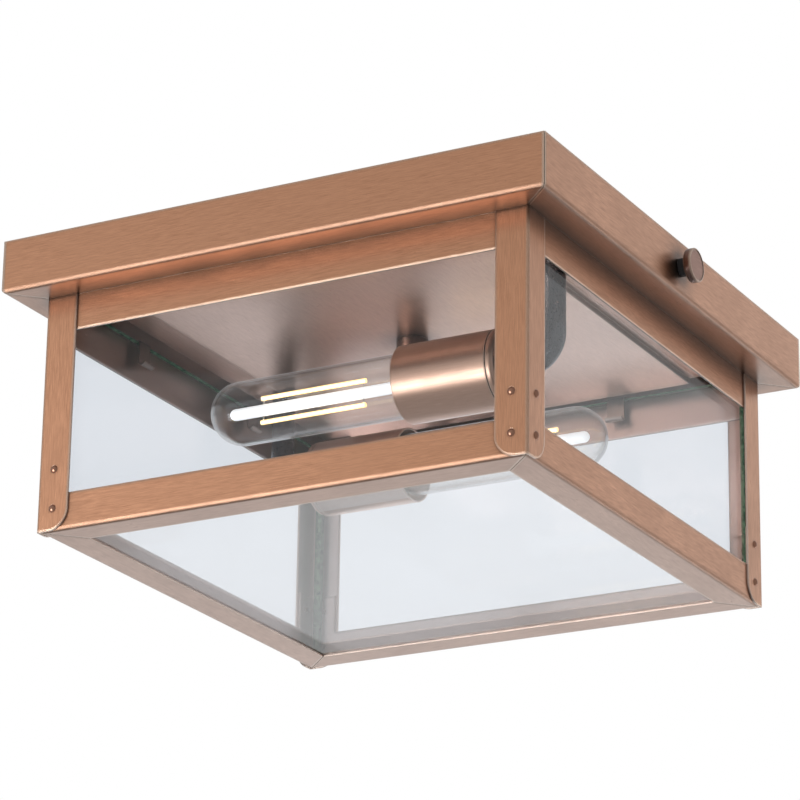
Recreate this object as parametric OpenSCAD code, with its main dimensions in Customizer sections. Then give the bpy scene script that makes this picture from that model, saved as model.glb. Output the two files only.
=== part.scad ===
// Outdoor flush mount light: a square canopy with a glazed cage under it and two tubular lamps inside.
// The origin is the centre of the ceiling face, +Z points up into the ceiling, sizes in millimetres.

/* [Canopy] */
// Width of the square canopy, outside
canopy_w = 304.8; // [280:0.1:360]
// Height of the canopy's skirt
skirt_h = 28; // [26:0.5:40]
// Thickness of the folded sheet
sheet_t = 1; // [0.8:0.1:1.2]
// Outside radius of the soft folds
fold_r = 2; // [1.5:0.1:3]
// Open line left at each mitred corner
mitre_gap = 0.2; // [0.1:0.05:0.4]
// Leg of the angle that joins two skirts inside a corner
gusset_leg = 15; // [10:1:24]

/* [Cage] */
// How far the canopy stands out past the cage
overhang = 16.9; // [14:0.1:24]
// Height of the whole light
overall_h = 152; // [140:1:200]
// Height of the top and bottom rails
rail_h = 19; // [15:0.5:24]
// Width of the bottom frame as seen from below
bottom_frame_w = 19; // [15:0.5:26]
// Width of each leg of a corner post
post_leg = 17.5; // [15:0.5:24]
// Radius of the rounded lower corner of a post's leg
post_corner_r = 11; // [6:0.5:13]
// Width of the top rail's flange that lies on the canopy's flange
lap_w = 11; // [8:0.5:12]

/* [Rivets] */
// Diameter of a rivet's domed head
rivet_head_d = 4; // [2.8:0.1:4.5]
// Height of a rivet's domed head
rivet_head_h = 1.2; // [0.6:0.1:1.5]
// Diameter of a rivet's shank
rivet_d = 2.4; // [2:0.1:2.7]
// Height of the lower rivet over the cage's underside
rivet_low = 11.4; // [9:0.1:13]
// Distance between the two rivets of a leg
rivet_pitch = 20.5; // [16:0.5:26]

/* [Glass] */
// Thickness of the panes
glass_t = 3; // [2.5:0.1:4]
// Gap between a rail and the pane behind it
glass_gap = 1; // [1:0.05:1.3]
// Gap between the edges of two panes
pane_gap = 0.3; // [0.2:0.05:0.6]
// Width of a glass clip
clip_w = 10; // [6:0.5:16]
// Length of a glass clip's leg down the pane
clip_drop = 12; // [8:0.5:18]
// Distance of a clip from the middle of its pane
clip_offset = 55; // [40:1:90]

/* [Mounting pan] */
// Gap between the skirt and the pan's wall
pan_gap = 2.4; // [2.2:0.1:2.8]
// Thickness of the pan's sheet
pan_t = 1.2; // [1:0.1:1.6]
// How far the pan's wall reaches down from its plate
pan_wall_h = 19; // [18:0.5:20]
// Diameter of the wire hole in the pan and the crossbar
pan_hole_d = 17; // [12:0.5:18]
// Thickness of the gasket against the ceiling
gasket_t = 2; // [1.5:0.1:3]
// Width of the gasket
gasket_w = 8; // [6:0.5:12]

/* [Crossbar] */
// Distance between the crossbar's two holes for the outlet box
box_spacing = 88.9; // [80:0.1:100]
// Diameter of those two holes
box_hole_d = 4.6; // [4:0.1:6]
// Width of the crossbar
crossbar_w = 22; // [20:0.5:30]
// Length of crossbar past each outlet box hole
crossbar_end = 12; // [8:0.5:20]
// Distance between the two screws that hold the pan to the crossbar
pan_screw_spacing = 50; // [40:1:60]
// Diameter of the screws that hold the pan and the lamp plate
fix_screw_d = 4; // [3:0.1:5]

/* [Lamp plate] */
// How far the lamp plate's panel lies over the skirt's lower face
plate_rise = 1; // [0.8:0.1:3]
// Height of the step at the panel's left and right edges
plate_step = 3; // [2:0.1:4]
// Gap between the panes and the lamp plate
plate_inset = 7.6; // [6.5:0.1:12]
// Width of the lip that hangs the lamp plate under the pan
plate_lip_w = 12; // [10:0.5:14]
// Distance between the two screws of a lip
plate_screw_spacing = 120; // [60:1:160]
// Diameter of the sleeve under the middle of the lamp plate
sleeve_d = 16.4; // [15:0.1:20]
// Length of that sleeve
sleeve_l = 22; // [16:0.5:26]

/* [Lamp holders] */
// Distance between the axes of the two lamps
lamp_spacing = 108; // [96:1:130]
// Height of the lamp's axis under the lamp plate's panel
lamp_drop = 47; // [40:1:54]
// Distance from a pane's inner face to the axis of the arm beside it
arm_inset = 21.2; // [18:0.1:30]
// Outside diameter of the bent arm
arm_d = 12.4; // [11:0.1:13]
// Wall of the bent arm
arm_wall = 1.4; // [1:0.1:1.8]
// Radius of the arm's bend at its axis
arm_bend_r = 14.3; // [12:0.1:20]
// Length of straight arm between its bend and the cup
arm_straight = 9.7; // [8:0.1:14]
// Wall of the socket body round its screw shell
socket_side = 4.6; // [4:0.1:7]
// Wall of the socket cup
cup_wall = 1; // [0.8:0.1:1.4]
// Length of the socket cup
cup_l = 52.3; // [46:0.1:56]
// Length of the cap that closes the cup's rear end
end_cap_l = 3.6; // [3:0.1:5]
// Open groove between the cup and its end cap
groove_w = 0.5; // [0.3:0.1:0.8]

/* [Bulb] */
// Diameter of the tubular glass bulb
bulb_d = 33; // [30:0.5:35]
// Distance from the bulb's tip to the pane it points at
tip_gap = 45; // [40:0.1:60]
// Thickness of the bulb's glass
bulb_wall = 0.8; // [0.6:0.1:1.2]
// Diameter of the bulb's screw base
base_d = 26; // [24:0.1:27]
// Length of the bulb's screw base
base_l = 20; // [18:0.5:22]
// Distance from the rear ends of the filaments to the mouth of the cup
filament_gap = 24.5; // [18:0.5:36]
// Distance of the filaments from the bulb's axis
filament_ring_r = 6.5; // [5:0.1:8]
// Thickness of a filament
filament_d = 2.4; // [1.2:0.1:3]
// Diameter of the bulb's glass rod
rod_d = 6; // [3:0.1:7]

/* [Knobs] */
// Diameter of a side knob
knob_d = 17.5; // [14:0.5:20]
// Thickness of a side knob
knob_t = 4; // [3:0.1:6]
// Diameter of the knob's screw
screw_d = 5; // [4:0.1:6]
// Outside diameter of the seal behind a knob
seal_d = 9.5; // [8.5:0.1:11]
// Length of the seal behind a knob
seal_l = 4.7; // [3:0.1:6]
// Diameter of the clinch nut inside the skirt
clinch_d = 9; // [8.5:0.1:11]
// Thickness of the clinch nut inside the skirt
clinch_t = 1.6; // [1.2:0.1:1.8]

/* [Hidden] */
$fn = 96;

// Shared clearances
over = 1;            // overrun of every cut
run_fit = 0.05;      // radial running clearance of a turning shaft
seat_gap = 0.3;      // gap between a moving piece and its seat
lay_gap = 0.2;       // gap beside a loosely laid piece
contact_gap = 0.3;   // gap between the bulb's contact and the socket's

// Planes of the cage
cage_w = canopy_w - 2 * overhang;
cage_face = cage_w / 2;
rail_face = cage_face - sheet_t;
rail_back = rail_face - sheet_t;
pane_face = rail_back - glass_gap;
pane_back = pane_face - glass_t;
skirt_in = canopy_w / 2 - sheet_t;
flange_top = -skirt_h + sheet_t;
lap_top = flange_top + sheet_t;
cage_floor = -overall_h;
floor_top = cage_floor + sheet_t;
pane_top = lap_top - lay_gap;
reach = canopy_w;

// Rivets and the tabs under the post legs
leg_mid = cage_face - post_leg / 2;
tab_side = 1.5;
tab_over = 8;
tab_from = cage_face - post_leg + tab_side;
tab_to = rail_back - lay_gap;
tab_top = rivet_low + rivet_pitch + tab_over;
tail_d = 3.2;
tail_h = 0.6;
rivet_hole_d = rivet_d + 2 * run_fit;
post_fold_r = sheet_t;

// Clips over the top edges of the panes
clip_t = 0.8;
clip_fold_r = 1.2;
clip_hold = 1;
clip_curl_r = 2;

// Mounting pan, its walls turned down
pan_half = skirt_in - pan_gap;
pan_top = -gasket_t;
pan_under = pan_top - pan_t;
pan_floor = pan_top - pan_wall_h;
pan_fold_r = 2 * pan_t;

// Crossbar and screws
crossbar_t = gasket_t;
crossbar_l = box_spacing + 2 * crossbar_end;
fix_head_d = 2 * fix_screw_d;
fix_head_t = 0.6 * fix_screw_d;
slot_w = 0.25 * fix_screw_d;
slot_t = 0.2 * fix_screw_d;
ground_x = 1.5 * crossbar_w;

// Lamp plate
plate_under = -skirt_h + plate_rise;
plate_half = pane_back - plate_inset;
margin_under = plate_under + plate_step;
margin_top = margin_under + sheet_t;
panel_gap = 0.7;
lip_mid = plate_half + plate_lip_w / 2;
lip_l = plate_screw_spacing + 2 * plate_lip_w;

// Stud through the middle of the lamp plate, its nut and the sleeve under it
stud_d = 0.6 * sleeve_d;
stud_bore_d = 0.3 * sleeve_d;
stud_low = plate_under - 0.6 * sleeve_l;
stud_nut_t = 3;
stud_nut_across = 1.1 * sleeve_d;
stud_over = 1;
stud_top = plate_under + sheet_t + stud_nut_t + stud_over;

// Lamp holder, drawn with its axis along X and its socket at the +X end
base_r = base_d / 2;
shell_wall = 0.6;
socket_gap = 0.5;
lamp_y = -lamp_spacing / 2;
lamp_z = plate_under - lamp_drop;
arm_x = pane_back - arm_inset;
arm_r = arm_d / 2;
arm_rise = 8;
arm_top = margin_top + arm_rise;
arm_nut_t = 3;
arm_nut_across = 1.5 * arm_d;
panel_half = arm_x - arm_r - panel_gap;
cap_rear = arm_x - arm_bend_r - arm_straight;
cap_front = cap_rear - end_cap_l;
cup_rear = cap_front - groove_w;
cup_mouth = cup_rear - cup_l;
shell_r = base_r + seat_gap + shell_wall;
socket_r = shell_r + socket_side;
cup_in_r = socket_r + socket_gap;
cup_d = 2 * (cup_in_r + cup_wall);
cap_round_r = 0.6 * end_cap_l;
cap_dish_r = 0.76 * cup_d / 2;
cap_dish_t = 1.1;
cap_neck_r = cup_in_r - lay_gap;

// Bulb, from its shoulder in the cup to its tip
bulb_r = bulb_d / 2;
bulb_tip = tip_gap - pane_back;
shoulder_l = 0.3 * bulb_d;
base_front = cup_mouth + shoulder_l;
base_wall = 0.6;
crimp_rows = 5;
crimp_r = 0.35;
neck_r = base_r - crimp_r - base_wall - lay_gap;
neck_in = 3;
base_rear = base_front + base_l;
insulator_l = 3;
insulator_r = 0.72 * base_r;
insulator_tip_r = 0.4 * base_r;
button_r = 0.3 * base_r;
button_l = 1.2;
button_rear = base_rear + insulator_l + button_l;
rod_tip = bulb_tip + 0.28 * bulb_d;
rod_r = rod_d / 2;
flare_l = 0.5 * bulb_d;
flare_r = neck_r - bulb_wall - lay_gap;
flare_front = base_front - flare_l;
filament_front = rod_tip + 0.55 * bulb_d;
filament_rear = cup_mouth - filament_gap;
support_r = 0.35;

// Socket inside the cup
socket_set = 2;
socket_front = base_front + socket_set;
shell_set = 0.8;
shell_front = socket_front + shell_set;
shell_rear = base_rear + socket_gap;
tongue_t = 1.6;
tongue_w = 5;
well_gap = 1;
socket_floor = button_rear + contact_gap + tongue_t;
socket_wall = 4;
socket_rear = socket_floor + socket_wall;
cap_neck_l = cap_front - socket_rear;
arm_end = socket_rear;

// Leads inside the arms and the wiring space
lead_r = 1.1;
lead_off = 1.8;
lead_turn_r = 6;
lead_rise = 4;
lead_top = arm_top + lead_rise;
lead_run = 46;
wire_nut_l = 18;
wire_nut_r = 4.4;
wire_nut_tip_r = 2.8;
wire_nut_grip = 3;

// Knob on the right skirt, drawn along +X
knob_z = -skirt_h / 2;
seal_from = canopy_w / 2 + seat_gap;
seal_to = seal_from + seal_l;
knob_from = seal_to + run_fit;
knob_to = knob_from + knob_t;
knob_edge_r = 0.5;
knob_groove_r = 0.9 * knob_d / 2;
knob_groove_t = 0.25;
screw_tip = pan_half + seat_gap;
screw_r = screw_d / 2;
screw_bore_r = screw_r + run_fit;
clinch_shank_r = 0.38 * clinch_d;

// Colours
copper = [0.72, 0.46, 0.36];
dark_copper = [0.60, 0.38, 0.31];
cream = [0.88, 0.86, 0.76];
brass = [0.80, 0.66, 0.36];
steel = [0.72, 0.73, 0.75];
black = [0.07, 0.07, 0.08];
clear = [0.80, 0.90, 0.90, 0.35];

// Shared shapes

// Rectangle with its corner at the origin rounded
module corner_2d(w, h, r) {
    if (r > 0) {
        translate([r, 0]) square([w - r, h]);
        translate([0, r]) square([w, h - r]);
        translate([r, r]) circle(r);
    } else {
        square([w, h]);
    }
}

// Section of a folded sheet: one leg along +X, one along +Y, the outside of the fold at the origin
module fold_2d(leg_x, leg_y, t, r) {
    difference() {
        corner_2d(leg_x, leg_y, r);
        translate([t, t]) corner_2d(leg_x, leg_y, max(0, r - t));
    }
}

// Stretches a section (across, up) along X, centred
module run_x(length) {
    translate([-length / 2, 0, 0]) rotate([90, 0, 90]) linear_extrude(length) children();
}

// Turns a profile (radius, place along X) about the X axis
module about_x() {
    rotate([0, 90, 0]) rotate_extrude() children();
}

// A bar along X between two places, with its axis through (y, z)
module bar_x(from, to, r, y = 0, z = 0) {
    translate([from, y, z]) rotate([0, 90, 0]) cylinder(h = to - from, r = r);
}

// A tall upright bar at (x, y) between two heights
module bar_z(from, to, r, x = 0, y = 0) {
    translate([x, y, from]) cylinder(h = to - from, r = r);
}

// Puts a piece made for the front on side 0 front, 1 right, 2 back, 3 left
module on_side(side) {
    rotate([0, 0, 90 * side]) children();
}

// Keeps only what lies in the front quarter, so that neighbours meet on a mitre
module mitred() {
    intersection() {
        children();
        translate([0, 0, cage_floor - over]) linear_extrude(overall_h + 2 * over)
            polygon([[0, -mitre_gap], [reach, -reach - mitre_gap], [-reach, -reach - mitre_gap]]);
    }
}

// Lamp pieces are made for the lamp with its socket on the right, the other lamp is turned half round
module on_lamp(turned) {
    rotate([0, 0, turned ? 180 : 0]) translate([0, lamp_y, lamp_z]) children();
}

// Canopy

module canopy(side) color(copper) on_side(side) difference() {
    mitred() run_x(canopy_w) translate([-canopy_w / 2, -skirt_h])
        fold_2d(canopy_w / 2 - rail_face, skirt_h, sheet_t, fold_r);
    if (side == 1 || side == 3)
        rotate([0, 0, -90]) bar_x(skirt_in - over, canopy_w / 2 + over, clinch_shank_r, 0, knob_z);
}

module corner_gussets() color(dark_copper) for (side = [0:3])
    on_side(side) translate([skirt_in, -skirt_in, flange_top + sheet_t])
        rotate([0, 0, 90]) linear_extrude(pan_under - flange_top - 2 * sheet_t)
            fold_2d(gusset_leg, gusset_leg, sheet_t, sheet_t);

// Cage

module top_rail(side) color(copper) on_side(side) mitred() run_x(canopy_w)
    translate([-rail_back, lap_top]) rotate(180)
        fold_2d(lap_w + sheet_t, rail_h + 2 * sheet_t, sheet_t, sheet_t);

module rivet_holes() {
    for (s = [-1, 1])
        for (h = [rivet_low, rivet_low + rivet_pitch])
            translate([s * leg_mid, -rail_back + over, cage_floor + h]) rotate([90, 0, 0])
                cylinder(h = 2 * sheet_t + 2 * over, d = rivet_hole_d);
}

module bottom_rail(side) color(copper) on_side(side) difference() {
    union() {
        mitred() run_x(canopy_w) translate([-rail_face, cage_floor])
            fold_2d(bottom_frame_w - sheet_t, rail_h, sheet_t, fold_r);
        for (s = [0, 1])
            mirror([s, 0, 0]) translate([tab_from, -rail_face, cage_floor + fold_r + sheet_t])
                cube([tab_to - tab_from, sheet_t, tab_top - fold_r - sheet_t]);
    }
    rivet_holes();
}

// Cuts the rounded lower corner out of the leg that faces the front
module leg_corner_cut() {
    translate([cage_face - post_leg, -rail_face + over, cage_floor]) rotate([90, 0, 0])
        linear_extrude(sheet_t + 2 * over) difference() {
            translate([-over, -over]) square(post_corner_r + over);
            translate([post_corner_r, post_corner_r]) circle(post_corner_r);
        }
}

// Post at the corner between one side and the next, made for the front right corner
module post(corner) color(copper) on_side(corner) difference() {
    translate([cage_face, -cage_face, cage_floor]) rotate([0, 0, 90])
        linear_extrude(overall_h - skirt_h) fold_2d(post_leg, post_leg, sheet_t, post_fold_r);
    leg_corner_cut();
    rotate([0, 0, 90]) mirror([1, 0, 0]) leg_corner_cut();
    rivet_holes();
    on_side(1) rivet_holes();
}

// Domed rivet, head outwards on the post, with its tail formed behind the rail's tab
module rivet() {
    dome_r = (pow(rivet_head_d / 2, 2) + pow(rivet_head_h, 2)) / (2 * rivet_head_h);
    rotate([90, 0, 0]) rotate_extrude() {
        intersection() {
            translate([0, rivet_head_h - dome_r]) circle(dome_r);
            square([rivet_head_d, rivet_head_h]);
        }
        translate([0, -2 * sheet_t]) square([rivet_d / 2, 2 * sheet_t]);
        translate([0, -2 * sheet_t - tail_h]) square([tail_d / 2, tail_h]);
    }
}

module rivets() color(dark_copper) for (side = [0:3])
    on_side(side)
        for (s = [-1, 1])
            for (h = [rivet_low, rivet_low + rivet_pitch])
                translate([s * leg_mid, -cage_face, cage_floor + h]) rivet();

// Glass

// The left and right panes run the full depth, the front and back panes fit between them
module side_glass(side) color(clear) on_side(side) {
    half = (side == 1 || side == 3) ? pane_face : pane_back - pane_gap;
    translate([-half, -pane_face, floor_top]) cube([2 * half, glass_t, pane_top - floor_top]);
}

module bottom_glass() color(clear) {
    half = pane_back - pane_gap;
    translate([-half, -half, floor_top]) cube([2 * half, 2 * half, glass_t]);
}

// Spring clip: lies on the top rail's flange, folds over the pane and ends in a curl
module glass_clip() {
    leg_from = pane_back - lay_gap;
    run_x(clip_w) {
        translate([-leg_from + clip_t, lap_top + clip_t]) rotate(180)
            fold_2d(leg_from - clip_t + lap_w - clip_hold - (pane_back - rail_back) - pane_back,
                    clip_drop, clip_t, clip_fold_r);
        translate([-leg_from + clip_curl_r, lap_top + clip_t - clip_drop]) difference() {
            circle(clip_curl_r);
            circle(clip_curl_r - clip_t);
            translate([-clip_curl_r, 0]) square([2 * clip_curl_r, clip_curl_r]);
        }
    }
}

module glass_clips() color(steel) for (side = [0:3])
    on_side(side)
        for (s = [-1, 1])
            translate([s * clip_offset, 0, 0]) glass_clip();

// Ceiling unit

module ceiling_gasket() color(black) difference() {
    translate([-pan_half, -pan_half, pan_top]) cube([2 * pan_half, 2 * pan_half, gasket_t]);
    translate([gasket_w - pan_half, gasket_w - pan_half, pan_top - over])
        cube([2 * (pan_half - gasket_w), 2 * (pan_half - gasket_w), gasket_t + 2 * over]);
}

module crossbar() color(steel) difference() {
    union() {
        translate([-crossbar_w / 2, (crossbar_w - crossbar_l) / 2, -crossbar_t])
            cube([crossbar_w, crossbar_l - crossbar_w, crossbar_t]);
        for (s = [-1, 1])
            bar_z(-crossbar_t, 0, crossbar_w / 2, 0, s * (crossbar_l - crossbar_w) / 2);
    }
    for (s = [-1, 1]) {
        bar_z(-crossbar_t - over, over, box_hole_d / 2, 0, s * box_spacing / 2);
        bar_z(-crossbar_t - over, over, fix_screw_d / 2 + run_fit, 0, s * pan_screw_spacing / 2);
    }
    bar_z(-crossbar_t - over, over, pan_hole_d / 2);
}

// Outside of the pan, drawn in by t on its walls and its plate
module pan_form(t) {
    half = pan_half - t;
    r = pan_fold_r - t;
    low = t > 0 ? over : 0;
    intersection_for (turn = [0, 1])
        rotate([0, 0, 90 * turn]) run_x(2 * half) translate([0, pan_floor - low]) {
            translate([-half, 0]) square([2 * half, pan_wall_h + low - t - r]);
            translate([r - half, 0]) square([2 * (half - r), pan_wall_h + low - t]);
            for (s = [-1, 1]) translate([s * (half - r), pan_wall_h + low - t - r]) circle(r);
        }
}

module mounting_pan() color(copper) difference() {
    pan_form(0);
    pan_form(pan_t);
    bar_z(pan_under - over, over, pan_hole_d / 2);
    bar_z(pan_under - over, over, fix_screw_d / 2 + run_fit, ground_x);
    for (s = [-1, 1]) {
        bar_z(pan_under - over, over, fix_screw_d / 2 + run_fit, 0, s * pan_screw_spacing / 2);
        for (side = [-1, 1])
            bar_z(pan_under - over, over, fix_screw_d / 2 + run_fit,
                  side * lip_mid, s * plate_screw_spacing / 2);
    }
}

// Slotted screw under a plate, its head's upper face at the origin
module fix_screw(length) {
    difference() {
        union() {
            bar_z(-fix_head_t, 0, fix_head_d / 2);
            bar_z(-fix_head_t / 2, length, fix_screw_d / 2);
        }
        translate([-fix_head_d, -slot_w / 2, -fix_head_t - over]) cube([2 * fix_head_d, slot_w, slot_t + over]);
    }
}

module pan_screws() color(steel) for (s = [-1, 1])
    translate([0, s * pan_screw_spacing / 2, pan_under]) fix_screw(pan_t + crossbar_t);

module ground_screw() color("green") translate([ground_x, 0, pan_under]) fix_screw(pan_t);

module plate_screws() color(steel) for (side = [-1, 1])
    for (s = [-1, 1])
        translate([side * lip_mid, s * plate_screw_spacing / 2, pan_under - sheet_t])
            fix_screw(sheet_t + pan_t);

// Outside of the lamp plate, drawn in by t on its sides and its underside
module plate_form(t) {
    top = t > 0 ? pan_under + over : pan_under;
    rotate([90, 0, 0]) translate([0, 0, t - plate_half]) linear_extrude(2 * (plate_half - t)) {
        translate([t - panel_half, plate_under + t]) square([2 * (panel_half - t), plate_step + sheet_t]);
        translate([t - plate_half, margin_under + t]) square([2 * (plate_half - t), top - margin_under - t]);
    }
}

module lamp_plate() color(copper) difference() {
    union() {
        difference() {
            plate_form(0);
            plate_form(sheet_t);
        }
        for (side = [0, 1])
            mirror([side, 0, 0]) translate([plate_half - sheet_t, -lip_l / 2, pan_under - sheet_t])
                cube([sheet_t + plate_lip_w, lip_l, sheet_t]);
    }
    for (turned = [false, true]) on_lamp(turned) bar_z(0, -lamp_z, arm_r + run_fit, arm_x);
    bar_z(plate_under - over, stud_top, stud_d / 2 + run_fit);
    for (side = [-1, 1])
        for (s = [-1, 1])
            bar_z(pan_under - sheet_t - over, over, fix_screw_d / 2 + run_fit,
                  side * lip_mid, s * plate_screw_spacing / 2);
}

module hex_nut(across, t, bore_d) {
    difference() {
        cylinder(h = t, d = across / cos(30), $fn = 6);
        translate([0, 0, -over]) cylinder(h = t + 2 * over, d = bore_d + 2 * run_fit);
    }
}

// Lamp holders

// Threaded stud through the lamp plate, hollow all the way
module centre_stud() color(steel) difference() {
    bar_z(stud_low, stud_top, stud_d / 2);
    bar_z(stud_low - over, stud_top + over, stud_bore_d / 2);
}

module centre_nut() color(steel)
    translate([0, 0, plate_under + sheet_t]) hex_nut(stud_nut_across, stud_nut_t, stud_d);

// Sleeve screwed on the stud up to the plate, closed at its lower end
module centre_sleeve() color(copper) difference() {
    bar_z(plate_under - sleeve_l, plate_under, sleeve_d / 2);
    bar_z(stud_low - run_fit, plate_under + over, stud_d / 2 + run_fit);
}

// Quarter turn of an arm or a lead, from the run along X up to the upright
module quarter_turn(bend_r, r) {
    rotate([90, 0, 0]) rotate_extrude(angle = 90) translate([bend_r, 0]) circle(r);
}

// Arm or lead path of one radius, from a place inside the cup up to a height
module arm_path(r, from, top, y = 0) {
    bar_x(from, arm_x - arm_bend_r, r, y);
    translate([arm_x - arm_bend_r, y, arm_bend_r]) rotate([0, 90, 0]) quarter_turn(arm_bend_r, r);
    bar_z(arm_bend_r, top, r, arm_x, y);
}

module lamp_arm(turned) color(black) on_lamp(turned) difference() {
    arm_path(arm_r, arm_end, arm_top - lamp_z);
    arm_path(arm_r - arm_wall, arm_end - over, arm_top - lamp_z + over);
}

module arm_nuts() color(steel) for (turned = [false, true]) on_lamp(turned)
    translate([arm_x, 0, margin_top - lamp_z]) hex_nut(arm_nut_across, arm_nut_t, arm_d);

module socket_cup(turned) color(copper) on_lamp(turned) about_x()
    translate([cup_in_r, cup_mouth]) square([cup_wall, cup_l]);

module cup_end_caps() color(copper) for (turned = [false, true]) on_lamp(turned) about_x() difference() {
    union() {
        translate([0, cap_front]) square([cup_d / 2, end_cap_l - cap_round_r]);
        translate([0, cap_front]) square([cup_d / 2 - cap_round_r, end_cap_l]);
        translate([cup_d / 2 - cap_round_r, cap_rear - cap_round_r]) circle(cap_round_r);
        translate([0, cap_front - cap_neck_l]) square([cap_neck_r, cap_neck_l]);
    }
    translate([0, cap_rear - cap_dish_t]) square([cap_dish_r, cap_dish_t + over]);
    translate([0, cap_front - cap_neck_l - over]) square([arm_r + run_fit, end_cap_l + cap_neck_l + 2 * over]);
}

module socket_bodies() color(cream) for (turned = [false, true]) on_lamp(turned) difference() {
    about_x() difference() {
        translate([0, socket_front]) square([socket_r, socket_rear - socket_front]);
        translate([0, socket_front - over]) square([shell_r + lay_gap, shell_rear - socket_front + over]);
        translate([0, shell_rear - over]) square([insulator_r + well_gap, socket_floor - shell_rear + over]);
    }
    for (s = [-1, 1]) bar_x(socket_floor - over, socket_rear + over, lead_r + lay_gap, s * lead_off);
}

module screw_shells() color(brass) for (turned = [false, true]) on_lamp(turned) about_x() {
    translate([shell_r - shell_wall, shell_front]) square([shell_wall, shell_rear - shell_front]);
    for (i = [1:crimp_rows])
        translate([shell_r - crimp_r, shell_front + i * (shell_rear - shell_front) / (crimp_rows + 1)])
            circle(crimp_r);
}

// Sprung tongue at the bottom of the socket
module socket_contacts() color(brass) for (turned = [false, true]) on_lamp(turned)
    translate([button_rear + contact_gap, -tongue_w / 2, -tongue_w / 2])
        cube([tongue_t, tongue_w, tongue_w]);

// End of a lead over the arm: one turns inwards, the other along the lamp plate
module at_lead_end(s) {
    translate([arm_x, s * lead_off, lead_top - lamp_z]) rotate([0, 0, s > 0 ? -90 : 0])
        translate([-lead_turn_r, 0, 0]) children();
}

module lamp_leads() color(black) for (turned = [false, true]) on_lamp(turned)
    for (s = [-1, 1]) {
        arm_path(lead_r, socket_floor, lead_top - lead_turn_r - lamp_z, s * lead_off);
        at_lead_end(s) {
            translate([0, 0, -lead_turn_r]) quarter_turn(lead_turn_r, lead_r);
            bar_x(-lead_run - wire_nut_grip, 0, lead_r);
        }
    }

module wire_nuts() color("orange") for (turned = [false, true]) on_lamp(turned)
    for (s = [-1, 1])
        at_lead_end(s) translate([-lead_run, 0, 0]) wire_nut();

module wire_nut() {
    rotate([0, -90, 0]) difference() {
        union() {
            cylinder(h = wire_nut_l, r1 = wire_nut_r, r2 = wire_nut_tip_r);
            cylinder(h = wire_nut_grip, r = wire_nut_r);
        }
        translate([0, 0, -over]) cylinder(h = wire_nut_grip + over, r = lead_r + lay_gap);
    }
}

// Bulbs

// Outline of the bulb's glass, drawn in by t
module bulb_2d(t) {
    r = bulb_r - t;
    intersection() {
        translate([0, bulb_tip + bulb_r]) circle(r);
        translate([0, bulb_tip - over]) square([bulb_r + over, bulb_r + over]);
    }
    translate([0, bulb_tip + bulb_r]) square([r, cup_mouth - bulb_tip - bulb_r]);
    polygon([[0, cup_mouth], [r, cup_mouth], [neck_r - t, base_front], [neck_r - t, base_front + neck_in],
             [0, base_front + neck_in]]);
}

module bulb_glass(turned) color(clear) on_lamp(turned) about_x() difference() {
    bulb_2d(0);
    bulb_2d(bulb_wall);
    translate([0, base_front + neck_in - over]) square([neck_r - bulb_wall, 2 * over]);
}

module bulb_base(turned) color(brass) on_lamp(turned) about_x() difference() {
    union() {
        translate([0, base_front]) square([base_r - crimp_r, base_l]);
        for (i = [0:crimp_rows])
            translate([base_r - 2 * crimp_r, base_front + 2 * crimp_r
                       + i * (base_l - 4 * crimp_r) / crimp_rows]) circle(2 * crimp_r);
    }
    translate([0, base_front - over]) square([base_r - crimp_r - base_wall, base_l - base_wall + over]);
    translate([0, base_front]) square([insulator_r - base_wall, base_l + over]);
}

module bulb_contact(turned) color(black) on_lamp(turned) about_x() {
    translate([0, base_rear - base_wall]) square([insulator_r - base_wall - run_fit, base_wall]);
    polygon([[0, base_rear + run_fit], [insulator_r, base_rear + run_fit],
             [insulator_tip_r, base_rear + insulator_l], [0, base_rear + insulator_l]]);
    square_from = base_rear - run_fit;
    translate([0, square_from]) square([insulator_r - base_wall - run_fit, 3 * run_fit]);
    translate([0, base_rear + insulator_l - run_fit]) square([button_r, button_l + run_fit]);
}

// Flared glass stem that carries the rod between the filaments
module bulb_stem(turned) color([0.95, 0.97, 0.97]) on_lamp(turned) about_x() {
    intersection() {
        translate([0, rod_tip + rod_r]) circle(rod_r);
        translate([0, rod_tip]) square([rod_r, rod_r]);
    }
    translate([0, rod_tip + rod_r]) square([rod_r, flare_front - rod_tip - rod_r]);
    polygon([[0, flare_front], [rod_r, flare_front], [flare_r, base_front + neck_in],
             [0, base_front + neck_in]]);
}

module bulb_filaments(turned) color([1.0, 0.85, 0.45]) on_lamp(turned)
    for (a = [90, 270]) rotate([a, 0, 0]) {
        bar_x(filament_front, filament_rear, filament_d / 2, filament_ring_r);
        for (x = [filament_front + filament_d / 2, filament_rear - filament_d / 2])
            translate([x, 0, 0]) rotate([-90, 0, 0]) translate([0, 0, rod_r])
                cylinder(h = filament_ring_r - rod_r, r = support_r);
    }

// Knobs

module on_knob_side(left) {
    mirror([left ? 1 : 0, 0, 0]) translate([0, 0, knob_z]) children();
}

module clinch_nuts() color(steel) for (left = [false, true]) on_knob_side(left) about_x() {
    translate([screw_bore_r, skirt_in - clinch_t]) square([clinch_d / 2 - screw_bore_r, clinch_t]);
    translate([screw_bore_r, skirt_in]) square([clinch_shank_r - screw_bore_r, sheet_t]);
}

module knob_seal(left) color(black) on_knob_side(left) about_x()
    translate([screw_bore_r, seal_from]) square([seal_d / 2 - screw_bore_r, seal_l]);

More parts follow.
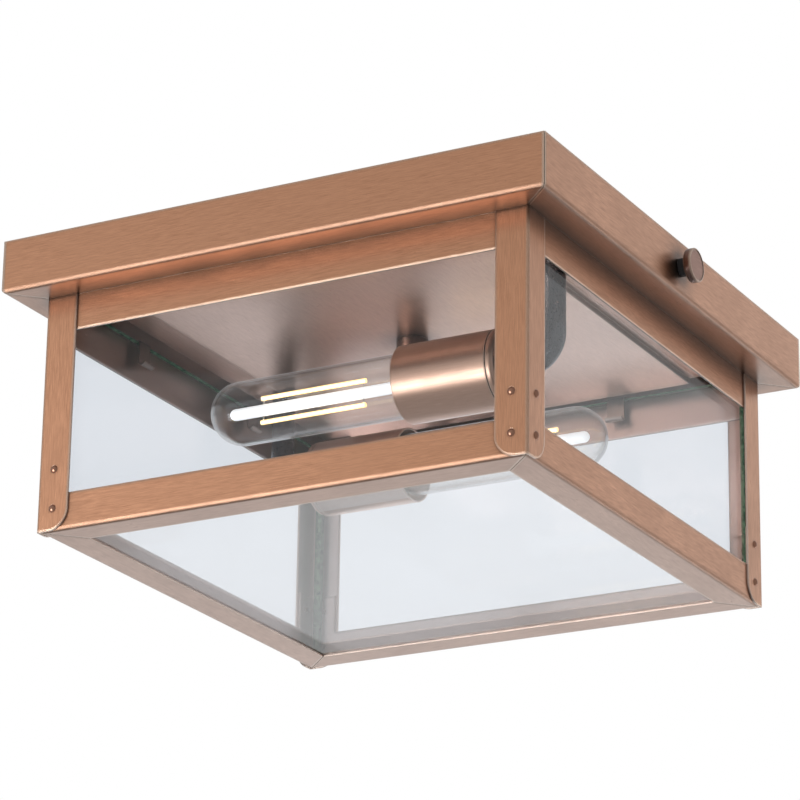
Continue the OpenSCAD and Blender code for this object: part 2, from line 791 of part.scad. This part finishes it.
module knob(left) color(dark_copper) on_knob_side(left) about_x() difference() {
    union() {
        translate([0, screw_tip]) square([screw_r, knob_from - screw_tip + sheet_t]);
        translate([0, knob_from]) square([knob_d / 2 - knob_edge_r, knob_t]);
        translate([0, knob_from + knob_edge_r]) square([knob_d / 2, knob_t - 2 * knob_edge_r]);
        for (x = [knob_from + knob_edge_r, knob_to - knob_edge_r])
            translate([knob_d / 2 - knob_edge_r, x]) circle(knob_edge_r);
    }
    translate([0, knob_to - knob_groove_t]) square([knob_groove_r, knob_groove_t + over]);
}

// What is drawn

crossbar();
ceiling_gasket();
mounting_pan();
pan_screws();
ground_screw();
lamp_plate();
plate_screws();
centre_stud();
centre_nut();
centre_sleeve();
lamp_arm(false);  // lamp_arm_right
lamp_arm(true);  // lamp_arm_left
arm_nuts();
socket_cup(false);  // socket_cup_right
socket_cup(true);  // socket_cup_left
cup_end_caps();
socket_bodies();
screw_shells();
socket_contacts();
lamp_leads();
wire_nuts();
bulb_glass(false);  // bulb_glass_right
bulb_base(false);  // bulb_base_right
bulb_stem(false);  // bulb_stem_right
bulb_filaments(false);  // bulb_filaments_right
bulb_contact(false);  // bulb_contact_right
bulb_glass(true);  // bulb_glass_left
bulb_base(true);  // bulb_base_left
bulb_stem(true);  // bulb_stem_left
bulb_filaments(true);  // bulb_filaments_left
bulb_contact(true);  // bulb_contact_left
canopy(0);  // canopy_front
canopy(1);  // canopy_right
canopy(2);  // canopy_back
canopy(3);  // canopy_left
corner_gussets();
top_rail(0);  // top_rail_front
top_rail(1);  // top_rail_right
top_rail(2);  // top_rail_back
top_rail(3);  // top_rail_left
bottom_rail(0);  // bottom_rail_front
bottom_rail(1);  // bottom_rail_right
bottom_rail(2);  // bottom_rail_back
bottom_rail(3);  // bottom_rail_left
post(0);  // post_front_right
post(1);  // post_back_right
post(2);  // post_back_left
post(3);  // post_front_left
side_glass(0);  // glass_front
side_glass(1);  // glass_right
side_glass(2);  // glass_back
side_glass(3);  // glass_left
bottom_glass();
glass_clips();
rivets();
clinch_nuts();
knob(false);  // knob_right
knob(true);  // knob_left
knob_seal(false);  // knob_seal_right
knob_seal(true);  // knob_seal_left
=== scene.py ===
"""Looks of the outdoor flush mount light: antique brushed copper, clear glass, two lit tubular bulbs.

Metres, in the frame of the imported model: the ceiling plane is z = 0 and the front pane faces -Y.
"""

import math

import bmesh
import bpy
from mathutils import Matrix, Vector

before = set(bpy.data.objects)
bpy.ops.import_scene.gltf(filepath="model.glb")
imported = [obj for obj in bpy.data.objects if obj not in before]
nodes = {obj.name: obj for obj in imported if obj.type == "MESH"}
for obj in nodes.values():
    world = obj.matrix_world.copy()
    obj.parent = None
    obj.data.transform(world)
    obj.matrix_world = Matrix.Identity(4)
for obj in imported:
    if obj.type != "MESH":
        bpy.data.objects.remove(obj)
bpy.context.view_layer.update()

MM = 0.001
WHITE = (1.0, 1.0, 1.0)
BLACK = (0.0, 0.0, 0.0)
NOISE_SPAN = (0.3, 0.7)  # most of a noise lies between these


# Node trees


class Tree:
    """A material's or world's node tree with short calls to add nodes and join them."""

    def __init__(self, owner):
        owner.use_nodes = True
        self.nodes = owner.node_tree.nodes
        self.links = owner.node_tree.links
        self.nodes.clear()

    def add(self, kind, **settings):
        """A new node. Settings name the node's own properties."""
        node = self.nodes.new("ShaderNode" + kind)
        for key, value in settings.items():
            setattr(node, key, value)
        return node

    def join(self, source, target):
        """Joins an output socket to an input socket, or sets the input where source is a plain value."""
        if isinstance(source, bpy.types.NodeSocket):
            self.links.new(source, target)
        else:
            target.default_value = source

    def feed(self, node, *sources):
        """Joins the sources to the node's first inputs, in their order."""
        for source, target in zip(sources, node.inputs):
            self.join(source, target)

    def math(self, operation, a, b=0.0, clamp=False):
        """The result of one operation on two values."""
        node = self.add("Math", operation=operation, use_clamp=clamp)
        self.feed(node, a, b)
        return node.outputs[0]

    def dot(self, a, b):
        """The dot product of two vectors."""
        node = self.add("VectorMath", operation="DOT_PRODUCT")
        self.feed(node, a, b)
        return node.outputs["Value"]

    def split(self, vector):
        """The outputs X, Y and Z of a vector."""
        node = self.add("SeparateXYZ")
        self.feed(node, vector)
        return node.outputs

    def mix(self, factor, a, b, blend="MIX"):
        """Colour mix of a and b."""
        node = self.add("Mix", data_type="RGBA", blend_type=blend)
        self.join(factor, node.inputs["Factor"])
        self.join(a, node.inputs["A"])
        self.join(b, node.inputs["B"])
        return node.outputs["Result"]

    def mix_shaders(self, factor, a, b):
        """Shader a where the factor is 0, b where it is 1."""
        node = self.add("MixShader")
        self.feed(node, factor, a, b)
        return node.outputs[0]

    def remap(self, value, low, high, to_low=0.0, to_high=1.0):
        """The value, moved from low..high to to_low..to_high and held between those."""
        node = self.add("MapRange", clamp=True)
        inputs = {"Value": value, "From Min": low, "From Max": high, "To Min": to_low, "To Max": to_high}
        for name, source in inputs.items():
            self.join(source, node.inputs[name])
        return node.outputs["Result"]

    def place(self, stretch=(1.0, 1.0, 1.0)):
        """The point on the object in metres, each axis multiplied by stretch."""
        here = self.add("TexCoord").outputs["Object"]
        mapping = self.add("Mapping")
        self.join(here, mapping.inputs["Vector"])
        mapping.inputs["Scale"].default_value = stretch
        return mapping.outputs["Vector"]

    def noise(self, where, scale=1.0, detail=3.0, rough=0.55):
        """Noise from about 0 to 1, scale in patches per metre of where."""
        node = self.add("TexNoise")
        self.join(where, node.inputs["Vector"])
        node.inputs["Scale"].default_value = scale
        node.inputs["Detail"].default_value = detail
        node.inputs["Roughness"].default_value = rough
        return node.outputs["Fac"]

    def bump(self, height, strength, distance, normal=None):
        """The normal over bumps of a height, on top of another normal where one is given."""
        node = self.add("Bump")
        node.inputs["Strength"].default_value = strength
        node.inputs["Distance"].default_value = distance
        self.join(height, node.inputs["Height"])
        if normal is not None:
            self.join(normal, node.inputs["Normal"])
        return node.outputs["Normal"]

    def normal(self):
        """The normal that is shown at the point."""
        return self.add("NewGeometry").outputs["Normal"]

    def slant(self):
        """0 where the surface is seen head on, 1 where it is seen edge on."""
        return self.add("LayerWeight").outputs["Facing"]

    def surface(self, shader):
        """Makes the shader the material's surface."""
        self.join(shader, self.add("OutputMaterial").inputs["Surface"])


def rgba(colour, level=1.0):
    """The colour at a level of its brightness, opaque."""
    return (*(level * c for c in colour), 1.0)


def principled(tree, **values):
    """The Principled shader on the material's surface. Values name its inputs, with _ for each space."""
    shader = tree.add("BsdfPrincipled")
    for name, value in values.items():
        tree.join(value, shader.inputs[name.replace("_", " ")])
    tree.surface(shader.outputs[0])


def material(name):
    """A new material and its empty tree."""
    made = bpy.data.materials.new(name)
    return made, Tree(made)


# Brushed metals

GRAIN_ALONG = 130.0  # grain lines per metre along the brushing
GRAIN_ACROSS = 2600.0  # and across it
BROAD_SCALE = 0.3  # broad streaks have this many lines for each fine one
FINE_SHARE = 0.8
BROAD_SHARE = 0.2
STREAK_SPAN = (0.18, 0.76)  # the metal goes from dark to light between these levels of the streaks
STREAK_DEPTH = 0.05 * MM
STREAK_BUMP = 0.16

PATCH_SCALE = 26.0  # slow patches of patina
PATCH_SPAN = (0.40, 0.66)
PATCH_LEVEL = 0.74
PATCH_ROUGHER = 0.10
SPECK_SCALE = 900.0  # dark specks
SPECK_SPAN = (0.66, 0.78)
SPECK_WEIGHT = 0.35
SPECK_LEVEL = 0.55

# Edges are where the softened normal agrees less with the real one. It agrees fully, 1, on a flat face
BEVEL = 2.0 * MM
BEVEL_SAMPLES = 4
BESIDE_SPAN = (0.9999, 0.997)
BESIDE_WEIGHT = 0.40  # of the darker line beside a painted edge highlight
BESIDE_LEVEL = 0.5
# Painted highlight: edges are mixed towards a pale copper
EDGE_SPAN = (0.985, 0.90)
EDGE_WEIGHT = 0.85

CREASE = 14.0 * MM  # how far the painted shade of a crease spreads
CREASE_SAMPLES = 4
CREASE_SPAN = (0.50, 1.0)
CREASE_SHADE = 0.22
LOOKS_INWARD = -0.01
INNER_WEIGHT = 0.5  # painted light: faces that look to the middle are paler
INNER_PAINTED_LIGHT = (0.90, 0.82, 0.78)
# Painted shade: faces that look down are darkened
DOWN_SPAN = (-0.2, -0.9)  # z of the normal, from upright to looking down
UNDER_SHADE = 0.50

COAT = 0.35  # weight of the clear coat
UNDER_COAT = 0.7  # and on faces that look down
COAT_ROUGHNESS = 0.28


def streaks(tree, axis):
    """Fine and broad grain lines along an axis, from about 0 to 1."""
    stretch = [GRAIN_ALONG if i == axis else GRAIN_ACROSS for i in range(3)]
    fine = tree.noise(tree.place(stretch), rough=0.6)
    broad = tree.noise(tree.place([BROAD_SCALE * s for s in stretch]))
    fine_part = tree.math("MULTIPLY", fine, FINE_SHARE)
    broad_part = tree.math("MULTIPLY", broad, BROAD_SHARE)
    return tree.math("ADD", fine_part, broad_part)


def patinated(tree, streak, light, dark, patina):
    """The streaked colour with patches of patina and specks, and how strong the patches are."""
    patch = tree.noise(tree.place(), PATCH_SCALE, detail=5.0, rough=0.6)
    speck = tree.noise(tree.place(), SPECK_SCALE, detail=2.0)
    colour = tree.mix(tree.remap(streak, *STREAK_SPAN), rgba(dark), rgba(light))
    worn = tree.remap(patch, *PATCH_SPAN, 0.0, patina)
    colour = tree.mix(worn, colour, rgba(light, PATCH_LEVEL))
    specked = tree.remap(speck, *SPECK_SPAN, 0.0, SPECK_WEIGHT)
    return tree.mix(specked, colour, rgba(dark, SPECK_LEVEL)), worn


def edged(tree, colour, dark, edge, bevel):
    """The colour with pale edges, a painted highlight, and a darker line beside each; and the softened
    normal, which finds the edges."""
    soft = tree.add("Bevel", samples=BEVEL_SAMPLES)
    soft.inputs["Radius"].default_value = bevel
    agreement = tree.dot(soft.outputs["Normal"], tree.normal())
    beside = tree.math("MULTIPLY", tree.remap(agreement, *BESIDE_SPAN), BESIDE_WEIGHT)
    colour = tree.mix(beside, colour, rgba(dark, BESIDE_LEVEL))
    painted_edge_highlight = tree.math("MULTIPLY", tree.remap(agreement, *EDGE_SPAN), EDGE_WEIGHT)
    return tree.mix(painted_edge_highlight, colour, rgba(edge)), soft.outputs["Normal"]


def shaded(tree, colour, under):
    """The colour with painted shade in outer creases and on faces that look down, and painted light that
    makes faces that look to the middle paler; and how far a face looks down."""
    crease = tree.add("AmbientOcclusion", samples=CREASE_SAMPLES)
    crease.inputs["Distance"].default_value = CREASE
    shadow = tree.remap(crease.outputs["AO"], *CREASE_SPAN, CREASE_SHADE, 1.0)
    face = tree.normal()
    outward = tree.dot(face, tree.place((1.0, 1.0, 0.0)))
    inner = tree.math("LESS_THAN", outward, LOOKS_INWARD)
    shadow = tree.math("MAXIMUM", shadow, inner)
    colour = tree.mix(tree.math("MULTIPLY", inner, INNER_WEIGHT), colour, rgba(INNER_PAINTED_LIGHT))
    down = tree.remap(tree.split(face)["Z"], *DOWN_SPAN)
    shadow = tree.math("MULTIPLY", shadow, tree.remap(down, 0.0, 1.0, 1.0, under))
    return tree.mix(1.0, colour, shadow, blend="MULTIPLY"), down


def brushed(name, axis, light, dark, roughness=(0.25, 0.42), patina=0.5, bevel=BEVEL, under=UNDER_SHADE):
    """Brushed metal: streaks along an axis, slow patches of darker patina, paler edges that are a painted
    highlight, painted shade in outer creases and on faces that look down, and painted light on faces that
    look to the middle.
    roughness is its least and its most. under is the painted shade of faces that look down, 1 for none."""
    made, tree = material(name)
    streak = streaks(tree, axis)
    colour, worn = patinated(tree, streak, light, dark, patina)
    colour, soft_normal = edged(tree, colour, dark, COPPER_EDGE_HIGHLIGHT, bevel)
    colour, down = shaded(tree, colour, under)
    smooth, matt = roughness
    rough = tree.remap(streak, *NOISE_SPAN, matt, smooth)
    rough = tree.math("ADD", rough, tree.math("MULTIPLY", worn, PATCH_ROUGHER), clamp=True)
    principled(
        tree,
        Base_Color=colour,
        Metallic=1.0,
        Roughness=rough,
        Normal=tree.bump(streak, STREAK_BUMP, STREAK_DEPTH, soft_normal),
        Coat_Weight=tree.remap(down, 0.0, 1.0, COAT, UNDER_COAT),
        Coat_Roughness=COAT_ROUGHNESS,
    )
    return made


ALONG_X = 0
ALONG_Y = 1
ALONG_Z = 2

# Painted highlight colour of the edges
COPPER_EDGE_HIGHLIGHT = (1.0, 0.78, 0.62)
COPPER_LIGHT = (0.66, 0.335, 0.195)
COPPER_DARK = (0.33, 0.155, 0.084)
PLATE_LIGHT = (0.66, 0.43, 0.33)
PLATE_DARK = (0.42, 0.26, 0.195)
CUP_LIGHT = (0.68, 0.43, 0.31)
CUP_DARK = (0.52, 0.315, 0.22)
CUP_BEVEL = 1.2 * MM
KNOB_LIGHT = (0.34, 0.17, 0.12)
KNOB_DARK = (0.22, 0.105, 0.075)
SLEEVE_LIGHT = (0.50, 0.31, 0.23)
SLEEVE_DARK = (0.32, 0.19, 0.14)

copper = [brushed("copper_" + letter, axis, COPPER_LIGHT, COPPER_DARK) for axis, letter in enumerate("xyz")]
plate_copper = brushed(
    "plate_copper", ALONG_Y, PLATE_LIGHT, PLATE_DARK, roughness=(0.26, 0.40), patina=0.35, under=1.0
)
cup_copper = brushed(
    "cup_copper", ALONG_X, CUP_LIGHT, CUP_DARK, roughness=(0.32, 0.42), patina=0.3, bevel=CUP_BEVEL, under=1.0
)
knob_copper = brushed("knob_copper", ALONG_Y, KNOB_LIGHT, KNOB_DARK, roughness=(0.28, 0.42), patina=0.4)
sleeve_copper = brushed(
    "sleeve_copper", ALONG_Z, SLEEVE_LIGHT, SLEEVE_DARK, roughness=(0.28, 0.40), patina=0.3
)


# Plain metals

FLECK_SCALE = 1400.0
FLECK_SPAN = (0.35, 0.7)
FLECK_WEIGHT = 0.15
FLECK_LEVEL = 0.6
FLECK_BUMP = 0.08
FLECK_DEPTH = 0.03 * MM
CLOUD_SCALE = 60.0  # slow change of the roughness
SMOOTHER = 0.8
ROUGHER = 1.25


def plain_metal(name, colour, roughness):
    """Plated or cast metal with a fine speckle."""
    made, tree = material(name)
    fleck = tree.noise(tree.place(), FLECK_SCALE)
    cloud = tree.noise(tree.place(), CLOUD_SCALE)
    specked = tree.remap(fleck, *FLECK_SPAN, 0.0, FLECK_WEIGHT)
    principled(
        tree,
        Base_Color=tree.mix(specked, rgba(colour), rgba(colour, FLECK_LEVEL)),
        Metallic=1.0,
        Roughness=tree.remap(cloud, *NOISE_SPAN, roughness * SMOOTHER, roughness * ROUGHER),
        Normal=tree.bump(fleck, FLECK_BUMP, FLECK_DEPTH),
    )
    return made


clip_metal = plain_metal("clip_metal", (0.34, 0.28, 0.25), 0.42)
rivet_copper = plain_metal("rivet_copper", (0.36, 0.19, 0.13), 0.30)
zinc = plain_metal("zinc", (0.62, 0.63, 0.64), 0.36)
brass = plain_metal("brass", (0.72, 0.54, 0.26), 0.28)
nickel = plain_metal("nickel", (0.70, 0.68, 0.62), 0.20)
green_zinc = plain_metal("green_zinc", (0.10, 0.34, 0.16), 0.35)


# Rubber, plastic and gloss black

MOTTLE_SCALE = 45.0
MOTTLE_WEIGHT = 0.5
MOTTLE_LEVEL = 0.72
PORE_SCALE = 700.0
PORE_BUMP = 0.25
PORE_DEPTH = 0.04 * MM
PORE_ROUGHNESS = 0.15  # share by which the pores change the roughness, both ways
GLOSS_ROUGHNESS = 0.08


def moulded(name, colour, roughness, scale=PORE_SCALE, depth=PORE_DEPTH, bump=PORE_BUMP, coat=0.0):
    """Moulded or foamed material: faint mottling, fine pores, and a gloss coat where coat isn't 0."""
    made, tree = material(name)
    cloud = tree.noise(tree.place(), MOTTLE_SCALE, detail=4.0)
    pore = tree.noise(tree.place(), scale, detail=2.0)
    mottle = tree.remap(cloud, *NOISE_SPAN, 0.0, MOTTLE_WEIGHT)
    smooth = roughness * (1.0 - PORE_ROUGHNESS)
    matt = min(1.0, roughness * (1.0 + PORE_ROUGHNESS))
    principled(
        tree,
        Base_Color=tree.mix(mottle, rgba(colour), rgba(colour, MOTTLE_LEVEL)),
        Roughness=tree.remap(pore, *NOISE_SPAN, smooth, matt),
        Normal=tree.bump(pore, bump, depth),
        Coat_Weight=coat,
        Coat_Roughness=GLOSS_ROUGHNESS,
    )
    return made


foam = moulded("foam", (0.035, 0.036, 0.040), 0.85, scale=420.0, depth=0.3 * MM)
rubber = moulded("rubber", (0.022, 0.023, 0.026), 0.50)
gloss_black = moulded("gloss_black", (0.012, 0.014, 0.018), 0.30, depth=0.01 * MM, bump=0.04, coat=0.6)
cream = moulded("cream", (0.72, 0.69, 0.58), 0.45)
insulation = moulded("insulation", (0.030, 0.031, 0.034), 0.42)
orange = moulded("orange", (0.72, 0.22, 0.03), 0.40)


# Glass

SMEAR_SCALE = 9.0
SMEAR_SPAN = (0.35, 0.7)
SMEAR_LEVEL = 0.985


def clear(tree, tint, head_on, falloff, wall_dark=0.0):
    """Glass that is seen straight through and mirrors more at a slant. head_on is how much it mirrors when
    seen straight on. wall_dark is how much light a bulb's wall, seen steeply, keeps back."""
    smear = tree.noise(tree.place(), SMEAR_SCALE)
    colour = tree.mix(tree.remap(smear, *SMEAR_SPAN), rgba(tint), rgba(tint, SMEAR_LEVEL))
    slant = tree.slant()
    mirrored = tree.math("MULTIPLY", tree.math("POWER", slant, falloff), 1.0 - head_on)
    mirrored = tree.math("ADD", mirrored, head_on)
    if wall_dark > 0:
        steep = tree.math("MULTIPLY", tree.remap(slant, *WALL_SPAN), wall_dark)
        colour = tree.mix(steep, colour, rgba(BLACK))
    through = tree.add("BsdfTransparent")
    tree.join(colour, through.inputs["Color"])
    mirror = tree.add("BsdfGlossy")
    mirror.inputs["Roughness"].default_value = 0.0
    return tree.mix_shaders(mirrored, through.outputs[0], mirror.outputs[0])


PANE_TINT = (0.940, 0.952, 0.968)
PANE_HEAD_ON = 0.022
PANE_FALLOFF = 5.0
PANE_EDGE = (0.03, 0.11, 0.06)
# Painted glints in the green ground edges
PANE_GLINT = (0.20, 0.36, 0.22)
EDGE_FACES = (0.7, 0.3)  # how far a face agrees with the pane's own: a plain face, an edge
RIPPLE_SCALE = 420.0
RIPPLE_SPAN = (0.4, 0.65)
END_SEEN = 2.2 * MM  # a pane's green end shows through its face over this width
END_WEIGHT = 0.85


def pane(name, across, end=None):
    """A pane whose ground edges, which turn away from the direction across, are green and cloudy, with
    painted glints. end is the distance from the middle, along X, past which its face shows the green end."""
    made, tree = material(name)
    shown = clear(tree, PANE_TINT, PANE_HEAD_ON, PANE_FALLOFF)
    agreement = tree.dot(tree.add("NewGeometry").outputs["True Normal"], across)
    ground = tree.remap(tree.math("ABSOLUTE", agreement), *EDGE_FACES)
    if end is not None:
        along = tree.math("ABSOLUTE", tree.split(tree.place())["X"])
        at_end = tree.math("GREATER_THAN", along, end)
        ground = tree.math("MAXIMUM", ground, tree.math("MULTIPLY", at_end, END_WEIGHT))
    ripple = tree.remap(tree.noise(tree.place(), RIPPLE_SCALE, detail=2.0), *RIPPLE_SPAN)
    cloudy = tree.add("BsdfDiffuse")
    tree.join(tree.mix(ripple, rgba(PANE_EDGE), rgba(PANE_GLINT)), cloudy.inputs["Color"])
    tree.surface(tree.mix_shaders(ground, shown, cloudy.outputs[0]))
    return made


BULB_TINT = (0.99, 0.99, 0.985)
BULB_HEAD_ON = 0.03
BULB_FALLOFF = 3.2
WALL_SPAN = (0.62, 0.90)  # the slant over which the bulb's wall darkens
WALL_DARK = 0.25
OUTLINE_SPAN = (0.85, 0.975)  # the slant over which its outline glows, a painted highlight
OUTLINE_WEIGHT = 0.75


def lit_bulb(name):
    """The glass of a lit bulb, with a dark steep wall and a painted highlight: an outline that glows white.
    """
    made, tree = material(name)
    shown = clear(tree, BULB_TINT, BULB_HEAD_ON, BULB_FALLOFF, WALL_DARK)
    outline = tree.math("MULTIPLY", tree.remap(tree.slant(), *OUTLINE_SPAN), OUTLINE_WEIGHT)
    tree.surface(tree.mix_shaders(outline, shown, tree.add("Emission").outputs[0]))
    return made


pane_half = max(corner[0] for corner in nodes["glass_back"].bound_box)
pane_x = pane("pane_x", (1, 0, 0))
pane_y = pane("pane_y", (0, 1, 0), end=pane_half - END_SEEN)
pane_z = pane("pane_z", (0, 0, 1))
bulb_clear = lit_bulb("bulb_clear")


# Lit parts of the bulbs

GLOW_ROUGHNESS = 0.4
ROD_GRAIN = (40.0, 900.0, 900.0)
ROD_COLOUR = (0.95, 0.96, 0.96)
ROD_LEVEL = 0.85
# Painted glow of the rod, which is no lamp
ROD_PAINTED_GLOW = 0.75


def painted_glow_rod(name):
    """The glass rod: pale, with a painted white glow that stands in for the bright reflection along it, and a
    little uneven along its length.
    """
    made, tree = material(name)
    grain = tree.noise(tree.place(ROD_GRAIN), detail=2.0)
    principled(
        tree,
        Base_Color=tree.mix(grain, rgba(ROD_COLOUR), rgba(ROD_COLOUR, ROD_LEVEL)),
        Roughness=GLOW_ROUGHNESS,
        Emission_Color=rgba(WHITE),
        Emission_Strength=ROD_PAINTED_GLOW,
    )
    return made


FILAMENT_CORE = (1.0, 0.93, 0.66)
FILAMENT_RIM = (0.95, 0.55, 0.10)
FILAMENT_OFF_AXIS = 5.0 * MM  # nearer to the lamp's axis than this only the wires are left
FILAMENT_GRAIN = (90.0, 900.0, 900.0)
FILAMENT_GLOW = (1.5, 2.1)
RIM_SPAN = (0.25, 0.75)
WIRE = (0.45, 0.44, 0.42)


def filament(name):
    """Lit strips, white-yellow with amber rims, held by dull wires."""
    made, tree = material(name)
    heights = [corner[2] for corner in nodes["bulb_glass_right"].bound_box]
    axis_z = (min(heights) + max(heights)) / 2
    off = tree.math("ABSOLUTE", tree.math("SUBTRACT", tree.split(tree.place())["Z"], axis_z))
    strip = tree.math("GREATER_THAN", off, FILAMENT_OFF_AXIS)
    grain = tree.noise(tree.place(FILAMENT_GRAIN), detail=2.0)
    principled(
        tree,
        Base_Color=tree.mix(strip, rgba(WIRE), rgba(FILAMENT_RIM)),
        Roughness=GLOW_ROUGHNESS,
        Emission_Color=tree.mix(tree.remap(tree.slant(), *RIM_SPAN), rgba(FILAMENT_CORE), rgba(FILAMENT_RIM)),
        Emission_Strength=tree.math("MULTIPLY", strip, tree.remap(grain, *NOISE_SPAN, *FILAMENT_GLOW)),
    )
    return made


rod_painted_glow = painted_glow_rod("rod_painted_glow")
filament_lit = filament("filament_lit")


# Which node wears what

looks = {
    "crossbar": zinc,
    "ceiling_gasket": foam,
    "mounting_pan": plate_copper,
    "pan_screws": zinc,
    "ground_screw": green_zinc,
    "lamp_plate": plate_copper,
    "plate_screws": zinc,
    "centre_stud": zinc,
    "centre_nut": zinc,
    "centre_sleeve": sleeve_copper,
    "arm_nuts": zinc,
    "cup_end_caps": cup_copper,
    "socket_bodies": cream,
    "screw_shells": brass,
    "socket_contacts": brass,
    "lamp_leads": insulation,
    "wire_nuts": orange,
    "corner_gussets": copper[ALONG_Z],
    "bottom_glass": pane_z,
    "glass_clips": clip_metal,
    "rivets": rivet_copper,
    "clinch_nuts": zinc,
}
for side, axis, glass in (
    ("front", ALONG_X, pane_y),
    ("right", ALONG_Y, pane_x),
    ("back", ALONG_X, pane_y),
    ("left", ALONG_Y, pane_x),
):
    looks["glass_" + side] = glass
    for strip in ("canopy_", "top_rail_", "bottom_rail_"):
        looks[strip + side] = copper[axis]
for corner in ("front_right", "back_right", "back_left", "front_left"):
    looks["post_" + corner] = copper[ALONG_Z]
for side in ("right", "left"):
    looks["lamp_arm_" + side] = gloss_black
    looks["socket_cup_" + side] = cup_copper
    looks["bulb_glass_" + side] = bulb_clear
    looks["bulb_base_" + side] = nickel
    looks["bulb_stem_" + side] = rod_painted_glow
    looks["bulb_filaments_" + side] = filament_lit
    looks["bulb_contact_" + side] = insulation
    looks["knob_" + side] = knob_copper
    looks["knob_seal_" + side] = rubber
for name, node in nodes.items():
    node.data.materials.clear()
    node.data.materials.append(looks[name])


# Room and lamps

WORLD_LEVEL = 0.48
# Direction, cosine at which its glow starts, gain
WORLD_LOBES = (
    ((-0.454, 0.82, -0.343), 0.30, 0.75),
    ((0.454, 0.82, 0.343), 0.95, 0.40),
    ((-0.40, -0.84, 0.343), 0.40, 0.20),
)


def world_light():
    """White behind the object and through its glass. In reflections and on surfaces it is darker, with a few
    brighter directions."""
    world = bpy.data.worlds.new("studio")
    bpy.context.scene.world = world
    tree = Tree(world)
    path = tree.add("LightPath")
    seen = tree.math("MAXIMUM", path.outputs["Is Camera Ray"], path.outputs["Is Transmission Ray"])
    direction = tree.add("TexCoord").outputs["Generated"]
    level = WORLD_LEVEL
    for toward, start, gain in WORLD_LOBES:
        agreement = tree.dot(direction, Vector(toward).normalized())
        level = tree.math("ADD", level, tree.remap(agreement, start, 1.0, 0.0, gain))
    light = tree.add("Background")
    tree.join(tree.mix(seen, level, rgba(WHITE)), light.inputs["Color"])
    tree.join(light.outputs[0], tree.add("OutputWorld").inputs["Surface"])


MIDDLE = (0.0, 0.0, -0.08)
LOW_AIM = (0.0, -0.054, -0.074)


def softbox(name, direction, distance, width, height, power, aim=MIDDLE):
    """A rectangular lamp in a direction from the point aim, facing it and out of the camera's sight."""
    data = bpy.data.lights.new(name, "AREA")
    data.shape = "RECTANGLE"
    data.size = width
    data.size_y = height
    data.energy = power
    lamp = bpy.data.objects.new(name, data)
    away = Vector(direction).normalized()
    lamp.location = Vector(aim) + away * distance
    lamp.rotation_mode = "QUATERNION"
    lamp.rotation_quaternion = away.to_track_quat("Z", "Y")
    lamp.visible_camera = False
    bpy.context.scene.collection.objects.link(lamp)


world_light()
softbox("key", (-0.60, -0.78, 0.20), distance=1.1, width=0.5, height=0.25, power=0.25)
softbox("low", (-0.42, -0.78, -0.45), distance=1.4, width=0.85, height=0.80, power=14.0, aim=LOW_AIM)
softbox("behind_low", (0.327, 0.82, -0.438), distance=1.9, width=0.6, height=0.16, power=1.2)


# Floor

FLOOR_Z = -2.2
FLOOR_HALF = 3.0
FLOOR_MOTTLE = 3.0
FLOOR_DARK = (0.80, 0.80, 0.81)
FLOOR_LIGHT = (0.84, 0.84, 0.84)
FLOOR_ROUGHNESS = 0.9


def floor():
    """A plain pale floor, well below the light."""
    mesh = bpy.data.meshes.new("floor")
    build = bmesh.new()
    bmesh.ops.create_grid(build, x_segments=1, y_segments=1, size=FLOOR_HALF)
    build.to_mesh(mesh)
    build.free()
    made = bpy.data.objects.new("floor", mesh)
    made.location.z = FLOOR_Z
    bpy.context.scene.collection.objects.link(made)
    pale, tree = material("floor_pale")
    tone = tree.mix(tree.noise(tree.place(), FLOOR_MOTTLE), rgba(FLOOR_DARK), rgba(FLOOR_LIGHT))
    principled(tree, Base_Color=tone, Roughness=FLOOR_ROUGHNESS)
    mesh.materials.append(pale)


floor()


# Camera, solved from the straight edges in the photograph

CAMERA_AT = (0.864059, -1.578522, -0.716922)
CAMERA_AZIMUTH = math.radians(28.884)
CAMERA_ELEVATION = math.radians(-20.06)
CAMERA_ROLL = math.radians(0.909)
FOCAL_PX = 3722.722
PHOTO_PX = 800
SENSOR_MM = 36.0
CLIP_START = 0.05
CLIP_END = 60.0


def photo_camera():
    """The camera that took the photograph."""
    data = bpy.data.cameras.new("camera")
    data.sensor_width = SENSOR_MM
    data.lens = FOCAL_PX / PHOTO_PX * SENSOR_MM
    data.clip_start = CLIP_START
    data.clip_end = CLIP_END
    camera = bpy.data.objects.new("camera", data)
    sideways = math.cos(CAMERA_ELEVATION)
    back = Vector((
        math.sin(CAMERA_AZIMUTH) * sideways,
        -math.cos(CAMERA_AZIMUTH) * sideways,
        math.sin(CAMERA_ELEVATION),
    ))
    level_right = Vector((math.cos(CAMERA_AZIMUTH), math.sin(CAMERA_AZIMUTH), 0.0))
    level_up = back.cross(level_right)
    right = math.cos(CAMERA_ROLL) * level_right + math.sin(CAMERA_ROLL) * level_up
    up = math.cos(CAMERA_ROLL) * level_up - math.sin(CAMERA_ROLL) * level_right
    turn = Matrix((right, up, back)).transposed().to_4x4()
    camera.matrix_world = Matrix.Translation(CAMERA_AT) @ turn
    bpy.context.scene.collection.objects.link(camera)
    bpy.context.scene.camera = camera


photo_camera()

CLEAR_WALLS = 40  # faces of panes and bulbs that a ray may pass in a row

bpy.context.scene.view_settings.view_transform = "Standard"
bpy.context.scene.cycles.transparent_max_bounces = CLEAR_WALLS
